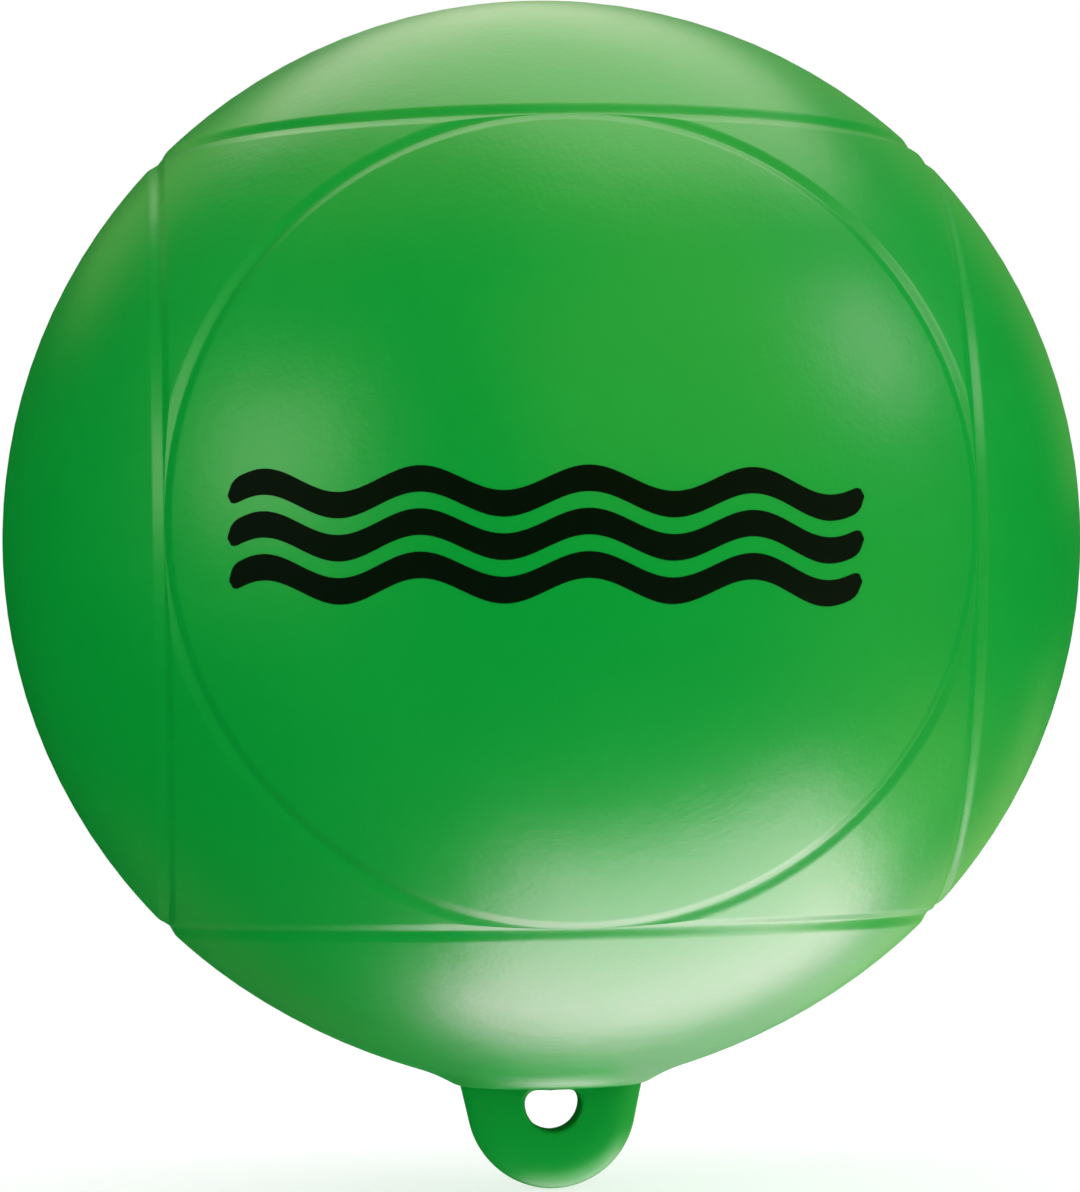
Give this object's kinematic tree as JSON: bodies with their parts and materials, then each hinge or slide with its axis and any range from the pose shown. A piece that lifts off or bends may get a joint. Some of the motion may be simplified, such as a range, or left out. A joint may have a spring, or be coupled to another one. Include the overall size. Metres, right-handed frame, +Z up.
{
  "type": "slalom course buoy",
  "caption": "Soft PVC ball buoy with ring-moulded grooves, a needle valve at the top and a flat tether lug with an eye at the bottom.",
  "frame": {"origin": "centre of the ball, which is also where the waterline is when the tether holds the buoy half under", "axes": "+Z up through the valve, -Z down through the tether lug, the eye of the lug looking along Y, the printed panel facing -Y"},
  "size_m": [0.225, 0.225, 0.2476],
  "materials": {
    "green_vinyl": "satin soft PVC, green through and through",
    "valve_vinyl": "satin soft PVC, a little darker",
    "core_rubber": "matt black rubber",
    "print_ink": "flat black print on the skin"
  },
  "bodies": {
    "root": {"ball_skin": "green_vinyl", "tether_lug": "green_vinyl", "valve_housing": "valve_vinyl", "valve_core": "core_rubber"}
  },
  "joints": []
}
